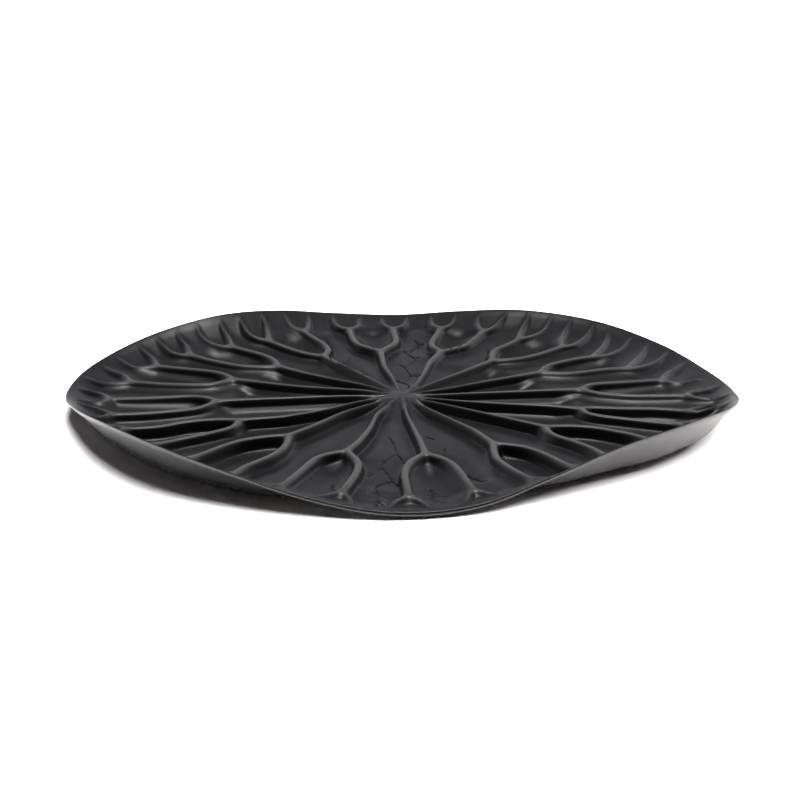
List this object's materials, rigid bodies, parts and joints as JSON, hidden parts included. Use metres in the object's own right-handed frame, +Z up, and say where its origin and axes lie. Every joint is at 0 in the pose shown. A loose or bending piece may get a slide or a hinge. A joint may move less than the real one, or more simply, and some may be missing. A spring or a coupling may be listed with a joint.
{
  "type": "leaf-shaped drying tray",
  "caption": "Lotus-leaf drying and serving tray: one thin moulded sheet with forked raised veins, sunken channels and a wavy edge, on soft seated feet.",
  "frame": {"origin": "on the table plane, under the middle of the leaf's outline", "axes": "+X along the leaf's longer way, -Y towards its lowest edge, where water runs off, +Z up from the table"},
  "size_m": [0.455, 0.3714, 0.034],
  "materials": {
    "black_plastic": "satin moulded plastic, near black",
    "soft_pad": "matt soft pad"
  },
  "bodies": {
    "root": {"leaf_tray": "black_plastic", "foot_1": "soft_pad", "foot_2": "soft_pad", "foot_3": "soft_pad", "foot_4": "soft_pad"}
  },
  "joints": []
}
